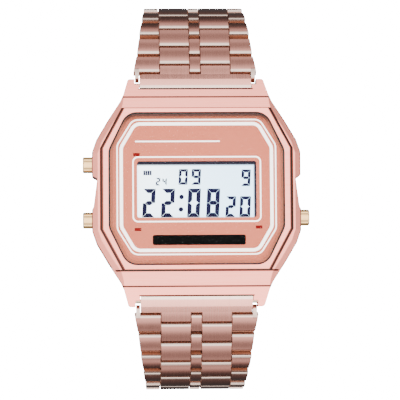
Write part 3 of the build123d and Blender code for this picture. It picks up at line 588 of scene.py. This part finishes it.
def display_finish():
    """Pale liquid crystal: one colour fades into another along X, under mottle and two painted
    shadows.
    """
    material, tree, shader = new_material("display_glass", DISPLAY_LEFT, DISPLAY_ROUGHNESS)
    place = use_group(tree, place_group).outputs
    mottle = add_node(tree, "ShaderNodeTexNoise", Scale=MOTTLE_PER_M, Detail=2.0)
    point = tree.nodes.new("ShaderNodeTexCoord")
    tree.links.new(point.outputs["Object"], mottle.inputs["Vector"])
    sheet = blend(tree, fade(tree, place["X"], DISPLAY_SPAN_X), DISPLAY_LEFT, DISPLAY_RIGHT)
    sheet = blend(tree, times(tree, mottle.outputs["Fac"], MOTTLE_WEIGHT), sheet, MOTTLE)
    top, right = fade(tree, place["Y"], SHADOW_TOP_Y), fade(tree, place["X"], SHADOW_RIGHT_X)
    shadow = math_node(tree, "MAXIMUM", top, right)
    sheet = blend(tree, shadow, sheet, PAINTED_WINDOW_SHADOW)
    tree.links.new(sheet, shader.inputs["Base Color"])
    tree.links.new(sheet, shader.inputs["Emission Color"])
    shader.inputs["Emission Strength"].default_value = DISPLAY_GLOW
    shader.inputs["Specular IOR Level"].default_value = DISPLAY_SPECULAR
    return material


finish["display"] = display_finish()
print("display finish ready, glow", DISPLAY_GLOW)

# %% [markdown]
# The crystal could be glass with transmission, but a thin clear sheet is quicker and steadier: its
# flats are nearly unseen, and only its bevel shows, as a painted copper reflection with painted
# shade towards 12.

# %% The crystal
CLEAR, CLEAR_ALPHA = (0.01, 0.01, 0.01), 0.02
CLEAR_SPECULAR, CLEAR_ROUGHNESS = 0.15, 0.04
BEVEL_Z = (7.8, 8.17)
# The bevel's painted copper reflection, and the painted shade that darkens it towards 12.
BEVEL_REFLECTION, BEVEL_SHADE = (0.40, 0.15, 0.09), (0.05, 0.015, 0.01)
BEVEL_SHADE_Y = (9.5, 12.3)
BEVEL_ALPHA, BEVEL_ALPHA_GAIN = 0.40, 0.42


def crystal_finish():
    """Alpha is 0.02 on the flats; the bevel goes 0.40 + 0.42 * nearness to 12 of the way to 1."""
    material, tree, shader = new_material("crystal_clear", CLEAR, CLEAR_ROUGHNESS)
    shader.inputs["Specular IOR Level"].default_value = CLEAR_SPECULAR
    place = use_group(tree, place_group).outputs
    above = math_node(tree, "GREATER_THAN", place["Z"], BEVEL_Z[0])
    bevel = times(tree, math_node(tree, "LESS_THAN", place["Z"], BEVEL_Z[1]), above)
    dark = fade(tree, place["Y"], BEVEL_SHADE_Y)
    strength = math_node(tree, "ADD", times(tree, dark, BEVEL_ALPHA_GAIN), BEVEL_ALPHA)
    span = add_node(tree, "ShaderNodeMapRange", To_Min=CLEAR_ALPHA, To_Max=1.0)
    tree.links.new(times(tree, bevel, strength), span.inputs["Value"])
    tree.links.new(span.outputs["Result"], shader.inputs["Alpha"])
    edge = blend(tree, dark, BEVEL_REFLECTION, BEVEL_SHADE)
    tree.links.new(blend(tree, bevel, CLEAR, edge), shader.inputs["Base Color"])
    return material


finish["crystal"] = crystal_finish()
print("crystal finish ready, alpha", CLEAR_ALPHA)

# %% [markdown]
# The parts inside hardly show, but each still has its own stuff: black moulded carrier, green
# board, dark chip epoxy, clear light guide, zebra-striped connector strips and rubber seals.
# Ink for the digits is made here too, since it is only another dull, dark plastic.

# %% Plastics, rubber and ink
# Part: name, light colour, dark colour, mottles per millimetre, roughness, bump
PLASTICS = {
    "carrier": ("module_black", (0.035, 0.035, 0.04), (0.02, 0.02, 0.022), 4.0, (0.4, 0.55), 0.1),
    "rubber": ("seal_rubber", (0.03, 0.03, 0.03), (0.015, 0.015, 0.015), 6.0, (0.6, 0.8), 0.2),
    "board": ("board_green", (0.04, 0.16, 0.07), (0.02, 0.10, 0.04), 2.0, (0.3, 0.45), 0.05),
    "chip": ("chip_epoxy", (0.03, 0.03, 0.035), (0.015, 0.015, 0.018), 5.0, (0.35, 0.5), 0.1),
    "guide": ("light_guide_clear", (0.72, 0.78, 0.70), (0.62, 0.70, 0.62), 1.0, (0.1, 0.2), 0.02),
    "ink": ("display_ink", (0.010, 0.010, 0.05), (0.007, 0.007, 0.035), 1.5, (0.3, 0.45), 0.02),
}
DULL_SPECULAR = {"rubber": 0.1, "ink": 0.05}
STRIPE_PITCH, STRIPE_EDGE, STRIPE_ROUGHNESS = 0.4, (-0.2, 0.2), 0.6
STRIPE_PALE, STRIPE_BLACK = (0.75, 0.60, 0.55), (0.05, 0.05, 0.05)


def moulded(name, light, dark, scale, rough, bump):
    """Plastic or rubber: the grain group, the same in all directions, and no metal."""
    return grained(name, light, dark, (scale, scale, scale), rough, bump, metallic=0.0)


def striped(name, first, second, pitch):
    """Thin stripes along X: the sign of sin(2 pi x / pitch) picks one of two colours."""
    material, tree, shader = new_material(name, first, STRIPE_ROUGHNESS)
    across = use_group(tree, place_group).outputs["X"]
    wave = math_node(tree, "SINE", times(tree, across, 2 * math.pi / pitch))
    stripes = blend(tree, fade(tree, wave, STRIPE_EDGE), first, second)
    tree.links.new(stripes, shader.inputs["Base Color"])
    return material


for part, recipe in PLASTICS.items():
    finish[part], _, shader = moulded(*recipe)
    if part in DULL_SPECULAR:
        shader.inputs["Specular IOR Level"].default_value = DULL_SPECULAR[part]
finish["strips"] = striped("connector_strips", STRIPE_PALE, STRIPE_BLACK, STRIPE_PITCH)
print("plastics ready:", ", ".join(PLASTICS))

# %% [markdown]
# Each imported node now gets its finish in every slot. The links and the end links have one of their
# own, and the families below share one.

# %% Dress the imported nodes
FAMILIES = {
    "case": ["case_body"],
    "crystal": ["crystal"],
    "dial": ["dial_plate"],
    "display": ["lcd_panel"],
    "guide": ["light_guide"],
    "strips": ["elastomer_strips"],
    "carrier": ["module_frame"],
    "board": ["circuit_board"],
    "chip": ["board_components"],
    "rubber": ["crystal_gasket", "back_gasket", "pusher_seals"],
    "steel": ["coin_cell", "cell_clip", "case_back", "case_back_screws"],
    "brass": ["switch_leaves", "piezo_disc"],
    "spring": ["piezo_spring", "lug_spring_bars", "spring_light", "spring_mode", "spring_start"],
    "clasp": ["clasp_cover", "clasp_middle_blade", "clasp_inner_blade"],
    "pusher": ["pusher_light", "pusher_mode", "pusher_start"],
}
part_of = {node: part for part, members in FAMILIES.items() for node in members}

for node, holder in nodes.items():
    material = finish[part_of.get(node, node)]
    slots = holder.data.materials
    if not slots:
        slots.append(material)
    for index in range(len(slots)):
        slots[index] = material
print("dressed", len(nodes), "nodes,", len(nodes) - len(part_of), "with a finish of their own")

# %% [markdown]
# The display writes with seven-segment digits, cut like those of a liquid crystal: mitred corners,
# a pointed middle bar and a hair of space between segments, leaning a few degrees. A font has no
# such digits, so each segment is a polygon in the digit's own box, and every side then moves in
# by half the hair. The numbers shown are plain numbers only.

# %% The outline of a digit
LEAN = math.tan(math.radians(3.0))
HAIR = 0.03
SEGMENTS = {
    "0": "abcdef", "1": "bc", "2": "abged", "3": "abgcd", "4": "fgbc",
    "5": "afgcd", "6": "afgedc", "7": "abc", "8": "abcdefg", "9": "abcdfg",
}


def segment_shapes(width, height, stroke):
    """The seven segments' outlines, anticlockwise, in a box from (0, 0) to (width, height)."""
    w, h, t = width, height, stroke
    m, half = height / 2, stroke / 2
    lower = {
        "d": [(0, 0), (w, 0), (w - t, t), (t, t)],
        "e": [(0, 0), (t, t), (t, m - half), (half, m), (0, m)],
        "c": [(w, 0), (w, m), (w - half, m), (w - t, m - half), (w - t, t)],
    }
    upper = {
        "a": [(0, h), (t, h - t), (w - t, h - t), (w, h)],
        "f": [(0, h), (0, m), (half, m), (t, m + half), (t, h - t)],
        "b": [(w, h), (w - t, h - t), (w - t, m + half), (w - half, m), (w, m)],
    }
    under = [(half, m), (t, m - half), (w - t, m - half)]
    over = [(w - half, m), (w - t, m + half), (t, m + half)]
    return {**lower, **upper, "g": under + over}


def cross(first, second):
    """x1 y2 - y1 x2, row by row."""
    return first[:, 0] * second[:, 1] - first[:, 1] * second[:, 0]


def inset(points, gap):
    """Moves each side of a convex anticlockwise outline inwards and joins the sides again.

    A side with direction d moves along its left normal n = (-dy, dx). Two neighbouring sides
    p + s d and q + t e meet where s = cross(q - p, e) / cross(d, e).
    """
    corners = np.array(points, dtype=float)
    e = np.roll(corners, -1, axis=0) - corners
    e /= np.linalg.norm(e, axis=1)[:, None]
    q = corners + gap * np.stack([-e[:, 1], e[:, 0]], axis=1)
    d, p = np.roll(e, 1, axis=0), np.roll(q, 1, axis=0)
    return p + (cross(q - p, e) / cross(d, e))[:, None] * d


def digit(char, x0, x1, y0, y1, stroke):
    """Outlines of one digit's lit segments on the display; x grows by height * tan(lean)."""
    shapes = segment_shapes(x1 - x0 - (y1 - y0) * LEAN, y1 - y0, stroke)
    lit = [inset(shapes[name], HAIR / 2) for name in SEGMENTS[char]]
    leaning = np.array([[1.0, 0.0], [LEAN, 1.0]])
    return [np.array([x0, y0]) + outline @ leaning for outline in lit]


print("digits known:", " ".join(SEGMENTS))

# %% [markdown]
# Besides digits the display shows a round dot and a small square, for the colon and the bars of
# the sign at the upper left. All outlines are then raised a little above the display, as the dark
# crystal looks in the photograph, and make one mesh: a flat top, a bottom and a wall for each.

# %% Dots, bars and the raised mesh
DISC_SIDES = 24


def disc(x, y, radius):
    """A round outline: (x + r cos a, y + r sin a) for a full turn of a."""
    angle = np.linspace(0.0, 2 * math.pi, DISC_SIDES, endpoint=False)
    return np.stack([x + radius * np.cos(angle), y + radius * np.sin(angle)], axis=1)


def square(x0, x1, y0, y1):
    """The outline of a box from (x0, y0) to (x1, y1)."""
    return np.array([(x0, y0), (x1, y0), (x1, y1), (x0, y1)])


def new_piece(name, vertices, faces, material):
    """A mesh from an array of points and a list of faces, as an object at the origin."""
    mesh = bpy.data.meshes.new(name)
    mesh.from_pydata(vertices.tolist(), [], faces)
    mesh.materials.append(material)
    piece = bpy.data.objects.new(name, mesh)
    bpy.context.collection.objects.link(piece)
    return piece


def raised_islands(outlines, low, high):
    """Each outline twice, at z = low and z = high, with a face on each and quads between them."""
    points, faces, start = [], [], 0
    for outline in outlines:
        count = len(outline)
        for height in (low, high):
            points.append(np.column_stack([outline, np.full(count, height)]) * MM)
        ring = start + np.arange(count)
        after = np.roll(ring, -1)
        faces += [(ring + count).tolist(), ring[::-1].tolist()]
        faces += np.stack([ring, after, after + count, ring + count], axis=1).tolist()
        start += 2 * count
    return np.concatenate(points), faces


print("disc sides:", DISC_SIDES)

# %% [markdown]
# The places below were measured on the photograph, in millimetres from the watch's middle. The
# strokes are a little wider than measured, because the bright sheet round them eats their edges.
# The ink starts just over the panel, whose top comes from the frame.

# %% The display's digits
INK_RISE = (0.01, 0.05)
# Row: bottom, top, stroke, then each digit with its left and right side
HOUR, MINUTE = [("2", -8.75, -6.5), ("2", -5.75, -3.4)], [("0", -1.55, 0.75), ("8", 1.5, 3.85)]
TIME_ROW = (-4.12, 0.50, 0.72, HOUR + MINUTE)
SECONDS_ROW = (-4.12, -0.76, 0.55, [("2", 4.6, 6.4), ("0", 6.85, 8.8)])
DATE_ROW = (0.85, 3.55, 0.48, [("9", 7.15, 8.8)])
DAY_ROW = (1.1, 3.65, 0.47, [("0", -2.9, -1.3), ("9", -0.85, 0.8)])
SMALL_ROW = (1.0, 2.25, 0.28, [("2", -6.55, -5.75), ("4", -5.5, -4.7)])
COLON_RADIUS, COLON_DOTS = 0.38, [(-2.5, -2.85), (-2.4, -0.85)]
BAR_COUNT, BAR_PITCH, BAR_X, BAR_Y = 4, 0.34, (-8.5, -8.2), (2.67, 3.4)


def row_of_digits(bottom, top, stroke, characters):
    """The outlines of all the digits of one row."""
    rows = [digit(char, left, right, bottom, top, stroke) for char, left, right in characters]
    return [outline for row in rows for outline in row]


outlines = []
for row in (TIME_ROW, SECONDS_ROW, DATE_ROW, DAY_ROW):
    outlines += row_of_digits(*row)
outlines += [disc(x, y, COLON_RADIUS) for x, y in COLON_DOTS]
for bar in range(BAR_COUNT):
    outlines.append(square(BAR_X[0] + BAR_PITCH * bar, BAR_X[1] + BAR_PITCH * bar, *BAR_Y))
outlines += row_of_digits(*SMALL_ROW)

panel_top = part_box("lcd_panel")[1][2] / MM
ink_low, ink_high = (panel_top + rise for rise in INK_RISE)
digits = new_piece("display_digits", *raised_islands(outlines, ink_low, ink_high), finish["ink"])
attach(digits, "case")
print("display_digits:", len(outlines), "islands,", len(digits.data.vertices), "points")

# %% [markdown]
# Each pusher's return spring is a plain tube in the CAD, because a helix has many faces and the
# spring hardly shows. Here a wire coil of the tube's length and outer width stands for it. Its wire
# is a circle carried along a helix, set square to the helix's direction, so that it stays round.

# %% The shape of a coil
COIL_TURNS = 3.5
WIRE_RADIUS = 0.1 * MM
COIL_SIDES = 10
COIL_STEPS = 90


def coil_surface(x0, x1, y, z, radius):
    """Wire round the helix (x(t), y + r cos a, z + r sin a), with a = 2 pi turns t for t in 0..1.

    A ring's points are centre + wire (cos u outward + sin u beside) for a full turn of u, where
    outward = (0, cos a, sin a) and beside is square to it and to the helix's direction. One
    face closes either end.
    """
    share = np.linspace(0.0, 1.0, COIL_STEPS)
    angle = 2 * math.pi * COIL_TURNS * share
    start, end = min(x0, x1) + WIRE_RADIUS, max(x0, x1) - WIRE_RADIUS
    outward = np.stack([np.zeros_like(angle), np.cos(angle), np.sin(angle)], axis=1)
    centre = radius * outward + np.array([0.0, y, z])
    centre[:, 0] = start + (end - start) * share
    onward = np.stack([np.zeros_like(angle), -np.sin(angle), np.cos(angle)], axis=1)
    onward[:, 0] = (end - start) / (2 * math.pi * COIL_TURNS * radius)
    onward /= np.linalg.norm(onward, axis=1)[:, None]
    beside = np.cross(onward, outward)
    turn = np.linspace(0.0, 2 * math.pi, COIL_SIDES, endpoint=False)[None, :, None]
    round_wire = np.cos(turn) * outward[:, None] + np.sin(turn) * beside[:, None]
    rings = centre[:, None] + WIRE_RADIUS * round_wire
    side = np.arange(COIL_SIDES)
    first = COIL_SIDES * np.arange(COIL_STEPS - 1)[:, None]
    a, b = first + side, first + np.roll(side, -1)
    walls = np.stack([a, b, b + COIL_SIDES, a + COIL_SIDES], axis=-1).reshape(-1, 4)
    last = COIL_SIDES * (COIL_STEPS - 1)
    return rings.reshape(-1, 3), walls.tolist() + [side[::-1].tolist(), (last + side).tolist()]


print("coil:", COIL_TURNS, "turns of", COIL_SIDES * COIL_STEPS, "points")

# %% [markdown]
# The coil replaces the tube, fills the tube's box and rides on the case.

for pusher in ("light", "mode", "start"):
    low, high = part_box(f"spring_{pusher}")
    radius = (high[2] - low[2]) / 2 - WIRE_RADIUS
    middle_y, middle_z = (low[1] + high[1]) / 2, (low[2] + high[2]) / 2
    wire = coil_surface(low[0], high[0], middle_y, middle_z, radius)
    coil = new_piece(f"coil_{pusher}", *wire, finish["spring"])
    for face in coil.data.polygons:
        face.use_smooth = len(face.vertices) == 4
    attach(coil, "case")
    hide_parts(f"spring_{pusher}")
    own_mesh(coil)

# %% [markdown]
# The photograph is taken from almost straight above the dial, against white. A long lens stands in
# for the studio camera. The camera leans a touch towards 6 o'clock and the left, and aims at the
# dial's middle, and its view is as wide as the photograph's scale makes it there.

# %% Camera
PHOTO_SIDE = 400
PIXELS_PER_MM = 6.26
CENTRE_PIXEL = (196.8, 190.8)
AIM_HEIGHT = 7.5 * MM
CAMERA_DISTANCE = 0.36
SENSOR_MM = 36.0
LEAN_TO_6, LEAN_LEFT, ROLL = (math.radians(angle) for angle in (4.0, 2.0, -0.4))


def upright_matrix(place, away, roll):
    """Columns side, up, away and place, with side = (0, 1, 0) x away and up = away x side.

    A roll r turns these two in their plane, to side cos r + up sin r and up cos r - side sin r.
    """
    side = np.cross((0.0, 1.0, 0.0), away)
    side = side / np.linalg.norm(side)
    up = np.cross(away, side)
    turned_side = side * math.cos(roll) + up * math.sin(roll)
    turned_up = up * math.cos(roll) - side * math.sin(roll)
    matrix = np.eye(4)
    matrix[:3] = np.column_stack([turned_side, turned_up, away, place])
    return Matrix(matrix.tolist())


def make_camera():
    """Focal length f = sensor * distance / view width; a shift puts the dial on its pixel."""
    lens = bpy.data.cameras.new("photo_camera")
    camera = bpy.data.objects.new("photo_camera", lens)
    bpy.context.collection.objects.link(camera)
    view_width = PHOTO_SIDE / PIXELS_PER_MM * MM
    lens.sensor_width = SENSOR_MM
    lens.lens = SENSOR_MM * CAMERA_DISTANCE / view_width
    lens.shift_x = (PHOTO_SIDE / 2 - CENTRE_PIXEL[0]) / PHOTO_SIDE
    lens.shift_y = (CENTRE_PIXEL[1] - PHOTO_SIDE / 2) / PHOTO_SIDE
    height = math.cos(LEAN_TO_6) * math.cos(LEAN_LEFT)
    away = np.array([-math.sin(LEAN_LEFT), -math.sin(LEAN_TO_6), height])
    away = away / np.linalg.norm(away)
    place = np.array([0.0, 0.0, AIM_HEIGHT]) + away * CAMERA_DISTANCE
    camera.matrix_world = upright_matrix(place, away, ROLL)
    bpy.context.scene.camera = camera
    return lens


photo_lens = make_camera()
print("camera lens, mm:", round(photo_lens.lens, 1))

# %% [markdown]
# The floor is a glowing white sheet, which gives the photograph's plain ground. It lies well below
# the watch, so that no pose of the bracelet reaches it, and it is clear from below, so that the
# back can be looked at. The metal mirrors the studio and not the floor.

# %% Floor
FLOOR_DROP = 0.15
FLOOR_REACH = 3.0
FLOOR_GLOW = 18.0
FLOOR_PAINT, FLOOR_ROUGHNESS = (0.95, 0.95, 0.95), 0.9
WHITE = (1, 1, 1, 1)


def make_floor():
    """A square at z = level, with alpha 1 - backfacing."""
    level = cad_box[0][2] - FLOOR_DROP
    material, tree, shader = new_material("floor_white", FLOOR_PAINT, FLOOR_ROUGHNESS)
    shader.inputs["Emission Color"].default_value = WHITE
    shader.inputs["Emission Strength"].default_value = FLOOR_GLOW
    facing = tree.nodes.new("ShaderNodeNewGeometry")
    tree.links.new(minus(tree, 1.0, facing.outputs["Backfacing"]), shader.inputs["Alpha"])
    corners = square(-FLOOR_REACH, FLOOR_REACH, -FLOOR_REACH, FLOOR_REACH)
    points = np.column_stack([corners, np.full(len(corners), level)])
    floor = new_piece("floor", points, [(0, 1, 2, 3)], material)
    floor.visible_glossy = False
    floor.visible_diffuse = False
    return level


floor_level = make_floor()
print("floor at z =", round(floor_level, 4))

# %% [markdown]
# Polished metal shows its surroundings, so the studio is drawn in the world and no lamp is used.
# It is dark below the horizon, where the outer links look. A ring of bright screens stands low
# above the horizon, then comes a dimmer band, and it is bright again overhead. Towards the left
# and the right it is dimmer, which shades the facets at the case's sides.

# %% Studio light
# Each stop: the sine of the height above the horizon, and the light there
STUDIO_STOPS = [
    (-1.00, 0.03), (-0.50, 0.07), (-0.10, 0.13), (0.03, 0.30), (0.15, 0.80), (0.20, 1.0),
    (0.30, 1.0), (0.42, 0.30), (0.70, 0.28), (0.82, 0.80), (1.00, 0.95),
]
SIDE_DARK, SIDE_SPAN, SIDE_WEIGHT = (0.03, 0.025, 0.025), (0.15, 0.6), 0.5
STUDIO_STRENGTH = 5.0


def make_studio():
    """Light as a ramp over the view's z, moved from -1..1 to 0..1, and dimmed with |x|."""
    world = bpy.data.worlds.new("studio")
    world.use_nodes = True
    tree = world.node_tree
    direction = tree.nodes.new("ShaderNodeTexCoord")
    split = tree.nodes.new("ShaderNodeSeparateXYZ")
    span = add_node(tree, "ShaderNodeMapRange", From_Min=-1.0)
    ramp = tree.nodes.new("ShaderNodeValToRGB")
    stops = ramp.color_ramp.elements
    while len(stops) < len(STUDIO_STOPS):
        stops.new(1.0)
    for element, (sine, value) in zip(stops, STUDIO_STOPS):
        element.position = (sine + 1) / 2
        element.color = (value, value, value, 1.0)
    tree.links.new(direction.outputs["Generated"], split.inputs[0])
    tree.links.new(split.outputs["Z"], span.inputs["Value"])
    tree.links.new(span.outputs["Result"], ramp.inputs["Fac"])
    sideways = fade(tree, distance(tree, split.outputs["X"]), SIDE_SPAN)
    light = blend(tree, times(tree, sideways, SIDE_WEIGHT), ramp.outputs["Color"], SIDE_DARK)
    background = tree.nodes["Background"]
    tree.links.new(light, background.inputs["Color"])
    background.inputs["Strength"].default_value = STUDIO_STRENGTH
    bpy.context.scene.world = world


make_studio()
print("studio of", len(STUDIO_STOPS), "stops")
